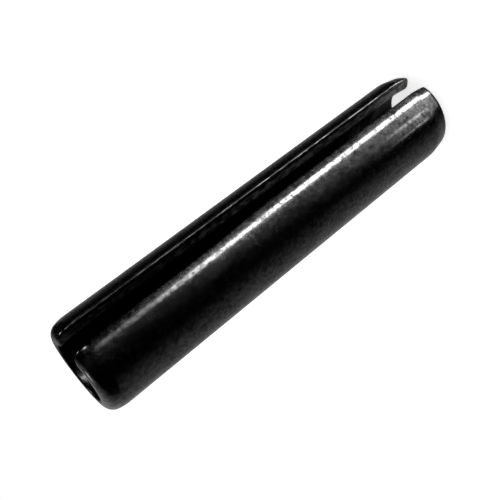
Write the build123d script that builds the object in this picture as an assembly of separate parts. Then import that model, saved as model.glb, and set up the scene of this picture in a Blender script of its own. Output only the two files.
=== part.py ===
"""Slotted spring pin (spring roll pin), nominal 10 x 50 mm, as supplied and not yet driven.

A strip of hardened spring steel is rolled into a tube that stays open along one line.
The slot lets the pin close up when it is driven into a hole a little smaller than itself.
Both ends are swaged: the wall bends in towards the axis, so the pin leads itself into the hole.

Frame: the pin stands on one end. +Z runs along its axis, the origin is the centre of the
lower end face, and the slot opens towards -Y. Lengths are in millimetres.
"""

import os

from build123d import *

# Rolled tube
PIN_LENGTH = 50.0          # from end face to end face
OUTER_DIAMETER = 10.5      # free size, before the hole squeezes the pin to 10 mm
WALL = 1.6                 # thickness of the strip

# Slot between the two cut edges of the strip
SLOT_WIDTH = 2.6           # between the cut faces, which face each other squarely
SLOT_EDGE_RADIUS = 0.22    # on the corners all round each cut face

# Swaged ends. The upper one is pressed rounder than the lower one
UPPER_SWAGE_LENGTH = 1.6   # along the axis, from the full diameter to the end face
UPPER_SWAGE_DROP = 0.40    # how far the outside has come in there, before its edge is rounded
UPPER_END_RADIUS = 1.2     # edge between the end face and the outside
UPPER_MOUTH_RADIUS = 0.2   # edge between the end face and the bore
LOWER_SWAGE_LENGTH = 2.2
LOWER_SWAGE_DROP = 0.45
LOWER_END_RADIUS = 0.6
LOWER_MOUTH_RADIUS = 0.4
MOUTH_DROP = 0.35          # how far the bore has come in at both ends
SHOULDER_RADIUS = 4.0      # blend between the tube and a swaged end, on the outside
BORE_SHOULDER_RADIUS = 2.5  # the same on the inside

outer_radius = OUTER_DIAMETER / 2
bore_radius = outer_radius - WALL


def wall_profile():
    """Section of the rolled wall on one side of the axis, with both swaged ends."""
    lower_radius = outer_radius - LOWER_SWAGE_DROP
    upper_radius = outer_radius - UPPER_SWAGE_DROP
    mouth_radius = bore_radius - MOUTH_DROP
    lower_swage = LOWER_SWAGE_LENGTH
    upper_swage = PIN_LENGTH - UPPER_SWAGE_LENGTH
    corners = [
        ((lower_radius, 0), LOWER_END_RADIUS),
        ((outer_radius, lower_swage), SHOULDER_RADIUS),
        ((outer_radius, upper_swage), SHOULDER_RADIUS),
        ((upper_radius, PIN_LENGTH), UPPER_END_RADIUS),
        ((mouth_radius, PIN_LENGTH), UPPER_MOUTH_RADIUS),
        ((bore_radius, upper_swage), BORE_SHOULDER_RADIUS),
        ((bore_radius, lower_swage), BORE_SHOULDER_RADIUS),
        ((mouth_radius, 0), LOWER_MOUTH_RADIUS),
    ]
    points = [point for point, _ in corners]
    radii = [radius for _, radius in corners]
    return make_face(Plane.XZ * FilletPolyline(*points, radius=radii, close=True))


def slot_gap():
    """The space between the cut edges of the strip, from the axis out through the front."""
    length = 2 * PIN_LENGTH
    to_front = (Align.CENTER, Align.MAX, Align.CENTER)
    return Pos(0, 0, PIN_LENGTH / 2) * Box(SLOT_WIDTH, OUTER_DIAMETER, length, align=to_front)


def spring_pin():
    """The rolled wall with its slot, and the corners of the two cut faces rounded over."""
    open_tube = revolve(wall_profile(), axis=Axis.Z) - slot_gap()
    cut_faces = open_tube.faces().filter_by(Plane.YZ)
    return fillet(cut_faces.edges(), SLOT_EDGE_RADIUS)


pin = spring_pin()
pin.label = "spring_pin"
os.makedirs("parts", exist_ok=True)
export_step(pin, "parts/spring_pin.step")
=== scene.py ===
"""A slotted spring pin, rolled from a flat strip of spring steel, in a small studio.

The pin stands on one end. Its slot opens towards -Y and its axis is the Z axis.
"""

import math

import bmesh
import bpy
from bpy.props import (
    FloatProperty,
    FloatVectorProperty,
    IntProperty,
    PointerProperty,
)
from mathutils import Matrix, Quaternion, Vector


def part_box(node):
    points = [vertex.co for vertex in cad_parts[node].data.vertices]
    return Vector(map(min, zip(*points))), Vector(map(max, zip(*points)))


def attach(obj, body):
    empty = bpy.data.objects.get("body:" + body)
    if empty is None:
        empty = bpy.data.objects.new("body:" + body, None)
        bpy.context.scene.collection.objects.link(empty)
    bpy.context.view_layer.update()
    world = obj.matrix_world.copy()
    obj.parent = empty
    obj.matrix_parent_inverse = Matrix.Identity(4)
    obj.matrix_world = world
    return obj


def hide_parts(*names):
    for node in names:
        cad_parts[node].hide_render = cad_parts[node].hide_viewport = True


bl_info = {
    "name": "Slotted spring pin",
    "version": (1, 0, 0),
    "blender": (4, 5, 0),
    "location": "3D View > Sidebar > Spring pin",
    "description": "Rolls a slotted spring pin from a flat strip and sets up its studio",
    "category": "Add Mesh",
}

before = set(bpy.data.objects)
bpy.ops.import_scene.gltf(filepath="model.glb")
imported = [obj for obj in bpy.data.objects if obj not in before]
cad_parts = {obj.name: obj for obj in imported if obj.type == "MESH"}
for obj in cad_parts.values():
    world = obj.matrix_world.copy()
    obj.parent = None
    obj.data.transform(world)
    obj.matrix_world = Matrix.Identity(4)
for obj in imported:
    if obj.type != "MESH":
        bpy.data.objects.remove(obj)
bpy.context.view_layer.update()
NODE = "spring_pin"
FINISH_SLOT = "blackened_spring_steel"
MM = 0.001
NODE_LOW, NODE_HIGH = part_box(NODE)
CAD_LENGTH = NODE_HIGH.z - NODE_LOW.z
CAD_DIAMETER = NODE_HIGH.x - NODE_LOW.x

# Rings across the flat strip, in millimetres
BEND_RINGS = (-0.42, -0.14, 0.14, 0.46, 0.95)  # from the start of a swage, away from the end
LOWER_FIRST_RING = 0.75  # from the lower end, past its rounded edges
UPPER_FIRST_RING = 0.98  # from the upper end, past its rounded edges
LEAST_STEP = 0.15  # from the first ring to the next
EVEN_STEPS = 34  # between the rings of the two ends

# How finely the edges are rounded, before the strip is smoothed
LOWER_CORNER_SEGMENTS = 6
LOWER_MOUTH_SEGMENTS = 4
UPPER_CORNER_SEGMENTS = 8
UPPER_MOUTH_SEGMENTS = 3
CUT_CORNER_SEGMENTS = 4
ROUND_PROFILE = 0.5
SMOOTHING_LEVELS = 2

# Which vertices count as near
ALIGNED = 0.999  # least share of an edge's length along an axis that it is parallel to
ON_LEVEL = 0.01 * MM
BENT_CUT_SPREAD = 0.07 * MM  # how far a cut face is from flat when the strip has been bent
PAST_CUT_CORNER = 0.05 * MM  # the part of the wall that closes in reaches this far

# Patterns in the finish: noise scale per millimetre, detail, roughness, scale along the pin
# against across it, and a shift that keeps one pattern from following another
GRAIN = (2.1, 3.0, 0.6, 1.0, 0.0)
BLOTCH = (0.8, 3.0, 0.6, 0.55, 7.0)
PATCH = (2.1, 2.0, 0.5, 0.45, 21.0)
SPECK = (1.7, 2.0, 0.5, 0.5, 33.0)
RAGGED_LINE = (0.8, 3.0, 0.6, 1.0, 11.0)
TEARS = (9.0, 4.0, 0.7, 0.5, 5.0)

# Masks on the finish: where each starts at 0 and where it reaches 1, in millimetres
IN_BORE = (0.1, 0.0)  # outside the bore's radius
# Painted shade: the cut faces are painted darker from this height up, standing in for the shade of
# the slot's facing wall
OUT_OF_PAINTED_SHADE = (40, 8)  # height
CLEAR_OF_TOP = (-1.4, -2.4)  # height above the upper end
PLUS_SIDE = (0.0, 0.1)  # x
MINUS_SIDE = (0.1, 0.0)  # x
IN_FRONT = (0.2, -0.2)  # y
ON_CUT = (0.05, 0.01)  # distance into the wall from a cut face
NEAR_CUT = (0.15, 0.06)
CUT_CORNER = (0.5, 0.3)
TORN = (-0.03, 0.05)  # depth below the ragged line
BURNISHED = (-0.08, -0.12)

# The same for noise, without a unit
IN_PATCH = (0.42, 0.64)
IN_SPECK = (0.42, 0.62)

# How much the grain and the blotches change a value
OXIDE_MOTTLE = (2.4, 1.0)
FILM_MOTTLE = (2.2, 0.9)
ROUGHNESS_BY_GRAIN = 0.2
RELIEF_BY_BLOTCH = 0.5

# Oxide: its darkest and palest against its colour, and how pale the cut is, from where a
# mask is 0 to where it is 1
OXIDE_SHADES = (0.25, 2.0)
# By height, the cut is painted darker towards the upper end: painted shade of the slot's facing
# wall
TORN_PAINTED_SHADE_BY_HEIGHT = (0.2, 1.2)
TORN_BY_PATCH = (0.25, 1.85)
BURNISHED_PAINTED_SHADE_BY_HEIGHT = (0.35, 1.0)
BURNISHED_BY_SPECK = (0.08, 0.63)
WORN_BY_SPECK = (0.002, 0.014)

# Film of oil: how much the corners lose on the -X and +X side, and what is left of it off
# and on the cut faces, and off and in the bore
FILM_LOST_ON_CORNERS = (0.3, 0.98)
FILM_ON_CUT = (1.0, 0.4)
FILM_IN_BORE = (1.0, 0.15)
LEAST_FILM = 0.03

ROUGHER_WHERE_TORN = 0.15
ROUGHER_ON_CORNER = 0.25

# What the steel mirrors, seen from the middle of the pin. Azimuth 0 is in front of the slot
# and turns towards +X; azimuths and elevations are in degrees.

# The narrow strip of light: its edges, the elevations between which it comes up, and how it
# leans, widens and shifts between two elevations
STRIP_FAR_EDGE = (-18.5, -15.5)
STRIP_NEAR_EDGE = (-7, -10)
STRIP_RISE = (-9, -22)
STRIP_LEAN = 4.5  # both edges, higher up
STRIP_LEAN_RISE = (-24, -12)
STRIP_WIDER = 2.2  # the near edge, lower down
STRIP_WIDER_RISE = (-22, -32)
STRIP_FAR_SHIFT = 3  # each edge, where the pin that mirrors it has its narrower slot
STRIP_NEAR_SHIFT = 10
STRIP_SHIFT_RISE = (-20, -27)

# Cards: the azimuths where each starts, is full, starts to fade and ends, and the elevations
# between which it comes up
STRIP_TOP = (-24, -19, -15, -11)
STRIP_TOP_RISE = (1, -8)
BESIDE_STRIP = (-62, -24, -20, -14)
BESIDE_STEPS = ((-12, -20), (-28, -37))
BESIDE_RADIANCE = (0.06, 0.45, 0.8)  # in all, and added at each step down
LOW_CARD = (-76, -54, -18, -10)
LOW_CARD_RISE = (-37, -41)
FRONT_CARD = (-10, -5, 10, 55)
FRONT_CARD_RISE = (-10, -20)
PALE_SIDE = (80, 138)  # azimuth to both sides
PALE_SIDE_ABOVE = 32  # starts this much further round above the pin
PALE_RADIANCE = (0.29, 0.44)  # below and above
ABOVE = (-3, 6)
DARK_BELOW = (-68, -60)

# Small round lamps: azimuth, elevation, half angle, and radiance
SPARKS = (
    (1, 14, 3.8, 50),
    (148, 27.4, 1.5, 15),
    (60, 41, 9, 30),
    (160, 63, 4.5, 9),
    (-44, -37.8, 2.2, 10),
    (-46, -41.5, 4, 12),
    (-69, -39.7, 2.4, 18),
)
SPARK_FULL = 0.6  # of the half angle, where a lamp starts to fade
SPARK_END = 1.3  # of the half angle, where it ends

WHITE = (1, 1, 1, 1)
CARD_SEGMENTS = 64
CARD_RINGS = 32
LAMP_AZIMUTH = 150
LAMP_ELEVATION = 75

# The camera: its place in millimetres, the way it looks and its turn in degrees
CAMERA_PLACE = (-39.617, -57.077, 56.447)
CAMERA_AHEAD = (0.51909, 0.76755, -0.37605)
CAMERA_TURN = -128.015
CAMERA_SEES = (1, 20000)  # from and to this distance, in millimetres
SENSOR_WIDTH = 36


# Settings that a user would change


def distance(name, description, millimetres):
    """A length, given in millimetres and kept in metres."""
    return FloatProperty(
        name=name,
        description=description,
        default=millimetres * MM,
        subtype="DISTANCE",
        unit="LENGTH",
        precision=5,
    )


def amount(name, description, value, least=0.0):
    """A plain number."""
    return FloatProperty(name=name, description=description, default=value, min=least)


def colour(name, description, value):
    """A linear colour."""
    return FloatVectorProperty(
        name=name,
        description=description,
        default=value,
        size=3,
        subtype="COLOR",
        min=0,
        max=1,
    )


class SpringPinSizes(bpy.types.PropertyGroup):
    """Sizes of the rolled strip."""

    length: distance("Length", "From end face to end face", CAD_LENGTH / MM)
    diameter: distance("Diameter", "Outside, before it is driven", CAD_DIAMETER / MM)
    wall: distance("Wall", "Thickness of the strip", 1.6)
    slot: distance("Slot", "Between the two cut edges of the strip", 2.6)
    cut_corner: distance("Cut corner", "Width of the cut edges' rounded corners", 0.25)
    close_in: distance("Closed in", "How much narrower the slot is lower down", 0.33)
    close_from: distance("Closes from", "Height where the slot starts to narrow", 36)
    close_over: distance("Closes over", "Length over which the slot narrows", 12)
    shoulder: distance("Shoulder", "Radius of the bend at the start of a swage", 4.0)
    bore_shoulder: distance("Bore shoulder", "Radius of the same bend in the bore", 2.5)
    mouth_drop: distance("Mouth drop", "How far the bore comes in at an end", 0.35)
    upper_swage: distance("Upper swage", "Length of the bent-in upper end", 1.6)
    upper_drop: distance("Upper drop", "How far the upper end comes in", 0.40)
    upper_corner: distance("Upper corner", "Rounding of the upper end's outside", 1.2)
    upper_mouth: distance("Upper mouth", "Rounding of the upper end's bore", 0.2)
    lower_swage: distance("Lower swage", "Length of the bent-in lower end", 2.2)
    lower_drop: distance("Lower drop", "How far the lower end comes in", 0.45)
    lower_corner: distance("Lower corner", "Rounding of the lower end's outside", 0.6)
    lower_mouth: distance("Lower mouth", "Rounding of the lower end's bore", 0.4)
    columns: IntProperty(
        name="Columns",
        description="Faces round the strip before it is smoothed",
        default=44,
        min=24,
    )


class SpringPinFinish(bpy.types.PropertyGroup):
    """Blackened and oiled steel."""

    oxide: colour("Oxide", "Black oxide on the rolled faces", (0.010, 0.010, 0.0105))
    torn: colour("Torn edge", "Black oxide on the torn part of the cut", (0.30, 0.295, 0.285))
    steel: colour("Bare steel", "Where the oxide is rubbed off", (0.42, 0.41, 0.40))
    torn_from: distance("Torn from", "Depth where the cut turns from burnished to torn", 0.42)
    torn_wander: distance("Torn wander", "How much deeper that line runs in places", 0.2)
    relief: distance("Relief", "Depth of the fine grain", 0.008)
    torn_relief: distance("Torn relief", "Depth of the tears in the cut", 0.03)
    roughness: amount("Roughness", "Roughness of the oxide on average", 0.27)
    film: amount("Film", "How much of the rolled faces the film of oil covers", 0.6)
    film_roughness: amount("Film roughness", "Roughness of the film of oil", 0.12)
    film_index: amount("Film index", "Refractive index of the film of oil", 1.62, least=1.0)


class SpringPinStudio(bpy.types.PropertyGroup):
    """Floor, cards, lamp and camera."""

    floor: distance("Floor", "Side of the square floor", 4000)
    floor_colour: colour("Floor colour", "Pale matt floor", (0.86, 0.86, 0.86))
    floor_glow: amount("Floor glow", "Added to the floor where it is seen", 0.75)
    room: amount("Room", "White light of the room on what is matt", 0.35)
    cards: distance("Cards", "Radius of the cards that the steel mirrors", 900)
    strip: amount("Strip light", "Radiance of the narrow strip in front of the pin", 32)
    strip_top: amount("Strip top", "Radiance of the strip's faint upper end", 2.2)
    low_card: amount("Low card", "Radiance of the card near the floor", 4.6)
    front_card: amount("Front card", "Radiance of the card in front of the slot", 0.5)
    lamp: distance("Lamp", "Side of the square lamp above the pin", 500)
    lamp_away: distance("Lamp away", "From the middle of the pin to that lamp", 600)
    lamp_radiance: amount("Lamp radiance", "Radiance of that lamp", 1.2)
    lens: amount("Lens", "Focal length in millimetres", 50.45, least=10)


# Small helpers for modelling


def deselect():
    """Nothing is selected: the loaded frame leaves its nodes selected."""
    bpy.ops.object.select_all(action="DESELECT")


def edit(piece):
    """Edit mode on one piece, with nothing selected in it."""
    bpy.context.view_layer.objects.active = piece
    bpy.ops.object.mode_set(mode="EDIT")
    bpy.ops.mesh.select_mode(type="VERT")
    bpy.ops.mesh.select_all(action="DESELECT")


def leave_edit():
    """Back to object mode."""
    bpy.ops.object.mode_set(mode="OBJECT")


def pick(kind, test):
    """Selects the vertices, edges or faces of the piece in edit mode that pass a test."""
    mesh = bpy.context.edit_object.data
    bpy.ops.mesh.select_mode(type={"verts": "VERT", "edges": "EDGE", "faces": "FACE"}[kind])
    bpy.ops.mesh.select_all(action="DESELECT")
    shape = bmesh.from_edit_mesh(mesh)
    found = [item for item in getattr(shape, kind) if test(item)]
    if not found:
        raise RuntimeError("nothing to select: " + kind)
    for item in found:
        item.select_set(True)
    shape.select_flush_mode()
    bmesh.update_edit_mesh(mesh, loop_triangles=False, destructive=False)


def runs_along(axis):
    """A test for edges that are parallel to an axis."""

    def test(edge):
        span = edge.verts[1].co - edge.verts[0].co
        return abs(span[axis]) > ALIGNED * span.length

    return test


def is_at(vertex, height, level):
    """Whether a vertex of the flat strip is at a height and on a level of its thickness."""
    return abs(vertex.co.z - height) < ON_LEVEL and abs(vertex.co.y - level) < ON_LEVEL


def bevel(width, segments):
    """The selected edges are rounded over."""
    bpy.ops.mesh.bevel(
        offset_type="OFFSET",
        offset=width,
        segments=segments,
        profile=ROUND_PROFILE,
        affect="EDGES",
        clamp_overlap=False,
    )


def apply_modifier(piece, kind, **settings):
    """A modifier that is made part of the mesh at once."""
    modifier = piece.modifiers.new(kind.title(), kind)
    for key, value in settings.items():
        setattr(modifier, key, value)
    bpy.context.view_layer.objects.active = piece
    bpy.ops.object.modifier_apply(modifier=modifier.name)


def smooth_step(part):
    """0 up to 0 and 1 from 1 on, smooth between."""
    part = min(max(part, 0.0), 1.0)
    return part * part * (3 - 2 * part)


# The rolled strip


def drop_at(from_end, swage, drop, shoulder):
    """How far one face of the wall has come in, this far from an end, shoulder blended."""
    slope = math.atan(drop / swage)
    reach = shoulder * math.tan(slope / 2)
    along = swage - from_end
    if along <= -reach:
        return 0.0
    if along >= reach * math.cos(slope):
        return along * drop / swage
    return shoulder - math.sqrt(shoulder**2 - (along + reach) ** 2)


def end_rings(swage, first):
    """Distances of the rings from an end: close together where the wall bends."""
    bends = [swage + offset for offset in BEND_RINGS]
    return [first] + [bend for bend in bends if bend > first + LEAST_STEP]


def ring_heights(sizes):
    """Heights of the rings across the strip: close together in the swages, even between."""
    lower = [z * MM for z in end_rings(sizes.lower_swage / MM, LOWER_FIRST_RING)]
    upper = [sizes.length - z * MM for z in end_rings(sizes.upper_swage / MM, UPPER_FIRST_RING)]
    step = (upper[-1] - lower[-1]) / EVEN_STEPS
    middle = [lower[-1] + step * count for count in range(1, EVEN_STEPS)]
    return lower + middle + upper[::-1]


def flat_strip(sizes):
    """The strip as it is cut: a flat bar with edges slanted so that they end up parallel."""
    outer = sizes.diameter / 2
    half_gap = sizes.slot / 2
    half_outer = math.pi - math.asin(half_gap / outer)
    half_bore = math.pi - math.asin(half_gap / (outer - sizes.wall))
    deselect()
    bpy.ops.mesh.primitive_cube_add(size=1, location=(0, 0, 0))
    strip = bpy.context.object
    strip.name = NODE + "_rolled"
    strip.data.name = strip.name
    edit(strip)
    bpy.ops.mesh.select_all(action="SELECT")
    bpy.ops.transform.resize(value=(2 * half_outer * outer, sizes.wall, sizes.length))
    bpy.ops.transform.translate(value=(0, -sizes.wall / 2, sizes.length / 2))
    pick("edges", runs_along(0))
    bpy.ops.mesh.subdivide(number_cuts=sizes.columns - 1)
    for height in ring_heights(sizes):
        bpy.ops.mesh.select_all(action="SELECT")
        bpy.ops.mesh.bisect(plane_co=(0, 0, height), plane_no=(0, 0, 1))
    pick("verts", lambda v: v.co.y < -sizes.wall / 2)
    bpy.ops.transform.resize(value=(half_bore / half_outer, 1, 1), center_override=(0, 0, 0))
    return strip


def swage_ends(sizes):
    """Both ends are pressed in, ring by ring."""
    for height in [0.0] + ring_heights(sizes) + [sizes.length]:
        upper = height > sizes.length / 2
        from_end = sizes.length - height if upper else height
        swage = sizes.upper_swage if upper else sizes.lower_swage
        outer_drop = sizes.upper_drop if upper else sizes.lower_drop
        faces = (
            (-sizes.wall, sizes.mouth_drop, sizes.bore_shoulder),
            (0.0, outer_drop, sizes.shoulder),
        )
        for level, drop, shoulder in faces:
            move = drop_at(from_end, swage, drop, shoulder)
            if move > 0:
                pick("verts", lambda v: is_at(v, height, level))
                bpy.ops.transform.translate(value=(0, -move, 0))


def round_edge(height, level, turn, radius, segments):
    """One edge of an end face is rounded to a radius; the two faces there turn by an angle."""
    pick("edges", lambda e: all(is_at(v, height, level) for v in e.verts))
    bevel(radius * math.tan(turn / 2), segments)


def round_end_edges(sizes):
    """The end faces meet the outside and the bore in rounded edges."""
    square = math.pi / 2
    mouth_level = -sizes.wall - sizes.mouth_drop

    turn = square - math.atan(sizes.lower_drop / sizes.lower_swage)
    round_edge(0.0, -sizes.lower_drop, turn, sizes.lower_corner, LOWER_CORNER_SEGMENTS)
    turn = square + math.atan(sizes.mouth_drop / sizes.lower_swage)
    round_edge(0.0, mouth_level, turn, sizes.lower_mouth, LOWER_MOUTH_SEGMENTS)

    top = sizes.length
    turn = square - math.atan(sizes.upper_drop / sizes.upper_swage)
    round_edge(top, -sizes.upper_drop, turn, sizes.upper_corner, UPPER_CORNER_SEGMENTS)
    turn = square + math.atan(sizes.mouth_drop / sizes.upper_swage)
    round_edge(top, mouth_level, turn, sizes.upper_mouth, UPPER_MOUTH_SEGMENTS)


def roll(strip, sizes):
    """The flat strip is bent round the axis until its edges face each other."""
    outer = sizes.diameter / 2
    leave_edit()
    across = [vertex.co.x for vertex in strip.data.vertices]
    apply_modifier(
        strip,
        "SIMPLE_DEFORM",
        deform_method="BEND",
        deform_axis="Z",
        angle=-(max(across) - min(across)) / outer,
    )
    edit(strip)
    bpy.ops.mesh.select_all(action="SELECT")
    bpy.ops.transform.translate(value=(0, outer, 0))


def square_cut_faces(sizes):
    """The two cut faces are made flat and parallel, and their corners rounded all round."""
    half_gap = sizes.slot / 2
    reach = half_gap + BENT_CUT_SPREAD
    for side in (-1, 1):
        pick("verts", lambda v: v.co.y < 0 and 0 < v.co.x * side < reach)
        bpy.ops.transform.resize(value=(0, 1, 1), center_override=(side * half_gap, 0, 0))

    def on_cut(vertex):
        return vertex.co.y < 0 and abs(abs(vertex.co.x) - half_gap) < ON_LEVEL

    pick("faces", lambda f: all(on_cut(v) for v in f.verts))
    bpy.ops.mesh.region_to_loop()
    bevel(sizes.cut_corner, CUT_CORNER_SEGMENTS)
    leave_edit()


def close_in_slot(strip, sizes):
    """The cut face on the -X side stands a little nearer the other one lower down."""
    reach = sizes.slot / 2 + sizes.cut_corner + PAST_CUT_CORNER
    for vertex in strip.data.vertices:
        if vertex.co.y < 0 and -reach < vertex.co.x < 0:
            part = (sizes.close_from - vertex.co.z) / sizes.close_over
            vertex.co.x += sizes.close_in * smooth_step(part)


class SPRINGPIN_OT_roll(bpy.types.Operator):
    """Model the rolled strip, give it its finish and put it on the frame"""

    bl_idname = "spring_pin.roll"
    bl_label = "Roll the pin"

    def execute(self, context):
        sizes = context.scene.spring_pin_sizes
        strip = flat_strip(sizes)
        swage_ends(sizes)
        round_end_edges(sizes)
        roll(strip, sizes)
        square_cut_faces(sizes)
        close_in_slot(strip, sizes)
        apply_modifier(strip, "SUBSURF", levels=SMOOTHING_LEVELS)
        deselect()
        strip.select_set(True)
        bpy.ops.object.shade_smooth()
        strip.data.materials.append(blackened_steel(context.scene.spring_pin_finish, sizes))
        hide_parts(NODE)
        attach(strip, "root")
        return {"FINISHED"}


# Shader maths


class Value:
    """A number that varies over the surface, and the Math nodes that its sums add."""

    def __init__(self, graph, socket):
        self.graph = graph
        self.socket = socket

    def maths(self, operation, first, second=None):
        inputs = {0: first}
        if second is not None:
            inputs[1] = second
        return self.graph.node("ShaderNodeMath", {"operation": operation}, inputs)

    def __add__(self, other):
        return self.maths("ADD", self, other)

    __radd__ = __add__

    def __sub__(self, other):
        return self.maths("SUBTRACT", self, other)

    def __rsub__(self, other):
        return self.maths("SUBTRACT", other, self)

    def __mul__(self, other):
        return self.maths("MULTIPLY", self, other)

    __rmul__ = __mul__

    def __truediv__(self, other):
        return self.maths("DIVIDE", self, other)

    def __rtruediv__(self, other):
        return self.maths("DIVIDE", other, self)

    def __pow__(self, other):
        return self.maths("POWER", self, other)

    def __rpow__(self, other):
        return self.maths("POWER", other, self)

    def __abs__(self):
        return self.maths("ABSOLUTE", self)

    def at_least(self, other):
        return self.maths("MAXIMUM", self, other)

    def at_most(self, other):
        return self.maths("MINIMUM", self, other)

    def rises(self, start, end):
        """0 before start, 1 after end, smooth between; falls where end is below start."""
        low, high = min(start, end), max(start, end)
        step = self.graph.node(
            "ShaderNodeMapRange",
            {"interpolation_type": "SMOOTHSTEP"},
            {"Value": self, "From Min": low, "From Max": high},
        )
        return step if end > start else 1 - step

    def within(self, start, full, fades, end):
        """Rises from start to full, stays 1, and falls from fades to end."""
        return self.rises(start, full) * self.rises(end, fades)

    def between(self, low, high):
        """low where this is 0, high where this is 1."""
        return low + (high - low) * self


class Graph:
    """Adds nodes to a node tree."""

    def __init__(self, tree):
        self.tree = tree
        tree.nodes.clear()

    def node(self, kind, settings=None, inputs=None, output=0):
        """One node: its settings first, then the values or links of its sockets."""
        made = self.tree.nodes.new(kind)
        for key, value in (settings or {}).items():
            setattr(made, key, value)
        for key, value in (inputs or {}).items():
            if isinstance(value, Value):
                self.tree.links.new(value.socket, made.inputs[key])
            else:
                made.inputs[key].default_value = value
        return Value(self, made.outputs[output] if made.outputs else None)

    def outputs(self, made, *names):
        """Several outputs of the node that made a value."""
        return [Value(self, made.socket.node.outputs[name]) for name in names]

    def mix(self, factor, first, second):
        """A colour between two colours."""
        return self.node(
            "ShaderNodeMix",
            {"data_type": "RGBA"},
            {"Factor": factor, 6: first, 7: second},
            output=2,
        )

    def axes(self, vector):
        """The x, y and z of a vector."""
        apart = self.node("ShaderNodeSeparateXYZ", inputs={0: vector})
        return self.outputs(apart, 0, 1, 2)

    def is_seen(self):
        """1 for rays from the camera, a mirror or glass, and 0 for rays that light a matt face."""
        rays = self.node("ShaderNodeLightPath")
        camera, glossy, transmission = self.outputs(
            rays, "Is Camera Ray", "Is Glossy Ray", "Is Transmission Ray"
        )
        return camera.at_least(glossy).at_least(transmission)


def shade(colour_value, times=1.0):
    """A colour with alpha, made darker or lighter."""
    return (*(times * part for part in colour_value), 1.0)


def blackened_steel(finish, sizes):
    """Spring steel with black oxide and a film of oil, and its torn cut edges."""
    material = bpy.data.materials.new(FINISH_SLOT)
    material.use_nodes = True
    g = Graph(material.node_tree)
    place = g.node("ShaderNodeTexCoord", output="Object")
    mm = g.node("ShaderNodeVectorMath", {"operation": "SCALE"}, {0: place, "Scale": 1 / MM})
    x, y, z = g.axes(mm)

    def noise(scale, detail, rough, along, shift):
        shifted = g.node(
            "ShaderNodeMapping",
            inputs={"Vector": mm, "Location": (shift,) * 3, "Scale": (1, 1, along)},
        )
        return g.node(
            "ShaderNodeTexNoise",
            inputs={"Vector": shifted, "Scale": scale, "Detail": detail, "Roughness": rough},
        )

    # Places on the pin, in millimetres
    length = sizes.length / MM
    outer = sizes.diameter / 2 / MM
    bore_radius = outer - sizes.wall / MM
    radius = (x * x + y * y) ** 0.5
    in_bore = (radius - bore_radius).rises(*IN_BORE)
    # 1 lower down, where the painted shade on the cut faces has gone
    lower = z.rises(*OUT_OF_PAINTED_SHADE)
    plus_side = x.rises(*PLUS_SIDE)
    in_front = y.rises(*IN_FRONT)

    # The cut faces and their corners; the face on the -X side closes in lower down
    closes_from = sizes.close_from / MM
    closed = z.rises(closes_from, closes_from - sizes.close_over / MM)
    moved = x.rises(*MINUS_SIDE) * closed * (sizes.close_in / MM)
    into_wall = abs(x) - (sizes.slot / 2 / MM - moved)
    on_cut = into_wall.rises(*ON_CUT) * in_front
    near_cut = into_wall.rises(*NEAR_CUT) * in_front
    corner = into_wall.rises(*CUT_CORNER) * in_front * (1 - on_cut)
    corner = corner * (z - length).rises(*CLEAR_OF_TOP)

    # The cut is burnished near the outside and torn below a ragged line
    line = finish.torn_from / MM + (finish.torn_wander / MM) * noise(*RAGGED_LINE)
    below_line = outer - radius - line
    torn = on_cut * below_line.rises(*TORN)
    burnished = near_cut * below_line.rises(*BURNISHED)

    grain = noise(*GRAIN)
    blotch = noise(*BLOTCH)
    patch = noise(*PATCH).rises(*IN_PATCH)
    speck = noise(*SPECK).rises(*IN_SPECK)

    def mottled(middle, by_grain, by_blotch):
        return middle + by_grain * (grain - 0.5) + by_blotch * (blotch - 0.5)

    # Oxide, paler in patches on the torn part and in specks on the burnished one
    darkest, palest = (shade(finish.oxide, times) for times in OXIDE_SHADES)
    oxide = mottled(0.5, *OXIDE_MOTTLE).at_least(0.0).at_most(1.0)
    base = g.mix(oxide, darkest, palest)
    # Painted shade: the torn and burnished parts of the cut are darker towards the upper end,
    # standing in for the shade of the slot's facing wall; the patches and specks are the cut's own
    # tone
    torn_tone_and_painted_shade = torn * lower.between(*TORN_PAINTED_SHADE_BY_HEIGHT) * patch.between(*TORN_BY_PATCH)
    burnished_tone_and_painted_shade = burnished * lower.between(*BURNISHED_PAINTED_SHADE_BY_HEIGHT)
    burnished_tone_and_painted_shade = burnished_tone_and_painted_shade * speck.between(*BURNISHED_BY_SPECK)
    base = g.mix((torn_tone_and_painted_shade + burnished_tone_and_painted_shade).at_most(1.0), base, shade(finish.torn))

    # The corner on the +X side is rubbed in specks, down to the steel
    worn = corner * plus_side * speck.between(*WORN_BY_SPECK)
    base = g.mix(worn, base, shade(finish.steel))

    # The film of oil is thin on the corners, on the cut faces and in the bore
    film = mottled(finish.film, *FILM_MOTTLE)
    film = film * (1 - corner * plus_side.between(*FILM_LOST_ON_CORNERS))
    film = film * on_cut.between(*FILM_ON_CUT) * in_bore.between(*FILM_IN_BORE)
    film = film.at_least(LEAST_FILM).at_most(1.0)

    roughness = finish.roughness + ROUGHNESS_BY_GRAIN * (grain - 0.5)
    roughness = roughness + ROUGHER_WHERE_TORN * torn
    roughness = roughness + ROUGHER_ON_CORNER * corner * plus_side
    height = grain + RELIEF_BY_BLOTCH * blotch
    fine = g.node(
        "ShaderNodeBump",
        inputs={"Strength": 1.0, "Distance": finish.relief, "Height": height},
    )
    coarse = g.node(
        "ShaderNodeBump",
        inputs={
            "Strength": 1.0,
            "Distance": finish.torn_relief,
            "Height": torn * noise(*TEARS),
            "Normal": fine,
        },
    )
    shader = g.node(
        "ShaderNodeBsdfPrincipled",
        inputs={
            "Base Color": base,
            "Metallic": 1.0,
            "Roughness": roughness,
            "Normal": coarse,
            "Coat Weight": film,
            "Coat Roughness": finish.film_roughness,
            "Coat IOR": finish.film_index,
        },
    )
    g.node("ShaderNodeOutputMaterial", inputs={0: shader})
    return material


# The studio


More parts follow.
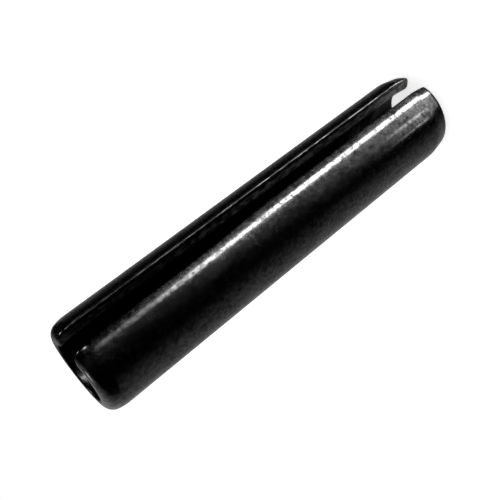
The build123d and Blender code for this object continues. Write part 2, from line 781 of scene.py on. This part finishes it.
def matt_floor(studio):
    """A pale matt sheet that looks white, with the pin's soft shadow on it."""
    material = bpy.data.materials.new("pale_floor")
    material.use_nodes = True
    g = Graph(material.node_tree)
    matt = g.node("ShaderNodeBsdfDiffuse", inputs={"Color": shade(studio.floor_colour)})
    glow = g.node(
        "ShaderNodeEmission", inputs={"Color": WHITE, "Strength": studio.floor_glow}
    )
    none = g.node("ShaderNodeEmission", inputs={"Strength": 0.0})
    only = g.node("ShaderNodeMixShader", inputs={0: g.is_seen(), 1: none, 2: glow})
    both = g.node("ShaderNodeAddShader", inputs={0: matt, 1: only})
    g.node("ShaderNodeOutputMaterial", inputs={0: both})
    return material


def room(studio):
    """White to the camera and in mirrors, and a soft light on what is matt.

    The steel shows the cards that stand in front of it instead.
    """
    world = bpy.data.worlds.new("room")
    world.use_nodes = True
    g = Graph(world.node_tree)
    strength = g.is_seen().between(studio.room, 1.0)
    glow = g.node("ShaderNodeBackground", inputs={"Color": WHITE, "Strength": strength})
    g.node("ShaderNodeOutputWorld", inputs={0: glow})
    bpy.context.scene.world = world


def direction(azimuth, elevation):
    """Azimuth 0 is in front of the slot, towards -Y, and turns towards +X; in degrees."""
    turn = math.radians(azimuth)
    rise = math.radians(elevation)
    flat = math.cos(rise)
    return Vector((math.sin(turn) * flat, -math.cos(turn) * flat, math.sin(rise)))


def cards_round_the_pin(studio):
    """What the steel mirrors: dark flags, a narrow strip of light, and a pale side behind."""
    material = bpy.data.materials.new("studio_cards")
    material.use_nodes = True
    g = Graph(material.node_tree)
    place = g.node("ShaderNodeTexCoord", output="Object")
    x, y, z = g.axes(place)
    azimuth = x.maths("ARCTAN2", x, 0 - y) * math.degrees(1)
    elevation = z.maths("ARCSINE", z / studio.cards) * math.degrees(1)
    above = elevation.rises(*ABOVE)

    # The strip leans higher up, is wider lower down, and shifts where the slot is narrower
    leaning = azimuth + STRIP_LEAN * elevation.rises(*STRIP_LEAN_RISE)
    shift = elevation.rises(*STRIP_SHIFT_RISE)
    wider = STRIP_WIDER * elevation.rises(*STRIP_WIDER_RISE)
    strip = (leaning - STRIP_FAR_SHIFT * shift).rises(*STRIP_FAR_EDGE)
    strip = strip * (leaning - wider - STRIP_NEAR_SHIFT * shift).rises(*STRIP_NEAR_EDGE)
    strip = strip * elevation.rises(*STRIP_RISE) * studio.strip
    strip_top = azimuth.within(*STRIP_TOP) * elevation.rises(*STRIP_TOP_RISE)
    strip_top = strip_top * studio.strip_top

    # A card beside the strip, in two steps, one near the floor and one in front of the slot
    everywhere, first, second = BESIDE_RADIANCE
    first_step, second_step = BESIDE_STEPS
    beside = everywhere + first * elevation.rises(*first_step)
    beside = (beside + second * elevation.rises(*second_step)) * azimuth.within(*BESIDE_STRIP)
    low = azimuth.within(*LOW_CARD) * elevation.rises(*LOW_CARD_RISE) * studio.low_card
    front = azimuth.within(*FRONT_CARD) * elevation.rises(*FRONT_CARD_RISE)
    front = front * studio.front_card

    # The pale side behind the pin starts further round above it
    pale = (abs(azimuth) - PALE_SIDE_ABOVE * above).rises(*PALE_SIDE)
    pale = pale * above.between(*PALE_RADIANCE)

    light = strip.at_least(strip_top).at_least(beside).at_least(low) + pale + front
    light = light * elevation.rises(*DARK_BELOW)

    for turn, rise, half, radiance in SPARKS:
        near = g.node(
            "ShaderNodeVectorMath",
            {"operation": "DOT_PRODUCT"},
            {0: place, 1: direction(turn, rise) / studio.cards},
            output="Value",
        )
        end = math.cos(math.radians(SPARK_END * half))
        full = math.cos(math.radians(SPARK_FULL * half))
        light = light + near.rises(end, full) * radiance

    glow = g.node("ShaderNodeEmission", inputs={"Color": light, "Strength": 1.0})
    g.node("ShaderNodeOutputMaterial", inputs={0: glow})
    return material


def light_from_above(studio):
    """A soft square lamp over the pin, which lights what is matt and isn't mirrored."""
    light = bpy.data.lights.new("top", "AREA")
    light.shape = "SQUARE"
    light.size = studio.lamp
    light.energy = studio.lamp_radiance * math.pi * studio.lamp**2
    lamp = bpy.data.objects.new("top", light)
    bpy.context.scene.collection.objects.link(lamp)
    out = direction(LAMP_AZIMUTH, LAMP_ELEVATION)
    lamp.location = Vector((0, 0, CAD_LENGTH / 2)) + out * studio.lamp_away
    lamp.rotation_euler = (-out).to_track_quat("-Z", "Y").to_euler()
    lamp.visible_camera = False
    lamp.visible_glossy = False


def place_camera(studio):
    """The camera looks down on the upper end, turned so that the pin lies across the picture."""
    data = bpy.data.cameras.new("camera")
    data.sensor_width = SENSOR_WIDTH
    data.lens = studio.lens
    nearest, furthest = CAMERA_SEES
    data.clip_start = nearest * MM
    data.clip_end = furthest * MM
    camera = bpy.data.objects.new("camera", data)
    bpy.context.scene.collection.objects.link(camera)
    camera.location = Vector(CAMERA_PLACE) * MM
    camera.rotation_mode = "QUATERNION"
    aimed = Vector(CAMERA_AHEAD).to_track_quat("-Z", "Y")
    camera.rotation_quaternion = aimed @ Quaternion((0, 0, 1), math.radians(CAMERA_TURN))
    bpy.context.scene.camera = camera


class SPRINGPIN_OT_studio(bpy.types.Operator):
    """Set up the floor, the cards, the lamp, the room and the camera"""

    bl_idname = "spring_pin.studio"
    bl_label = "Set up the studio"

    def execute(self, context):
        studio = context.scene.spring_pin_studio
        deselect()
        bpy.ops.mesh.primitive_plane_add(size=studio.floor, location=(0, 0, 0))
        floor = context.object
        floor.name = "floor"
        floor.data.materials.append(matt_floor(studio))
        # The steel mirrors the cards alone
        floor.visible_glossy = False
        floor.visible_shadow = False
        bpy.ops.mesh.primitive_uv_sphere_add(
            segments=CARD_SEGMENTS,
            ring_count=CARD_RINGS,
            radius=studio.cards,
            location=(0, 0, CAD_LENGTH / 2),
        )
        cards = context.object
        cards.name = "cards"
        cards.data.materials.append(cards_round_the_pin(studio))
        cards.visible_camera = False
        cards.visible_diffuse = False
        cards.visible_transmission = False
        cards.visible_shadow = False
        room(studio)
        light_from_above(studio)
        place_camera(studio)
        context.scene.view_settings.view_transform = "Standard"
        return {"FINISHED"}


class SPRINGPIN_PT_panel(bpy.types.Panel):
    """Sizes, finish and studio of the spring pin"""

    bl_label = "Spring pin"
    bl_idname = "SPRINGPIN_PT_panel"
    bl_space_type = "VIEW_3D"
    bl_region_type = "UI"
    bl_category = "Spring pin"

    def draw(self, context):
        scene = context.scene
        groups = (
            (scene.spring_pin_sizes, SPRINGPIN_OT_roll),
            (scene.spring_pin_finish, None),
            (scene.spring_pin_studio, SPRINGPIN_OT_studio),
        )
        for group, operator in groups:
            box = self.layout.box()
            for name in group.__annotations__:
                box.prop(group, name)
            if operator:
                box.operator(operator.bl_idname)


CLASSES = (
    SpringPinSizes,
    SpringPinFinish,
    SpringPinStudio,
    SPRINGPIN_OT_roll,
    SPRINGPIN_OT_studio,
    SPRINGPIN_PT_panel,
)


def register():
    for cls in CLASSES:
        bpy.utils.register_class(cls)
    bpy.types.Scene.spring_pin_sizes = PointerProperty(type=SpringPinSizes)
    bpy.types.Scene.spring_pin_finish = PointerProperty(type=SpringPinFinish)
    bpy.types.Scene.spring_pin_studio = PointerProperty(type=SpringPinStudio)


def unregister():
    del bpy.types.Scene.spring_pin_sizes
    del bpy.types.Scene.spring_pin_finish
    del bpy.types.Scene.spring_pin_studio
    for cls in reversed(CLASSES):
        bpy.utils.unregister_class(cls)


def main():
    register()
    bpy.ops.spring_pin.roll()
    bpy.ops.spring_pin.studio()


if __name__ == "__main__":
    main()
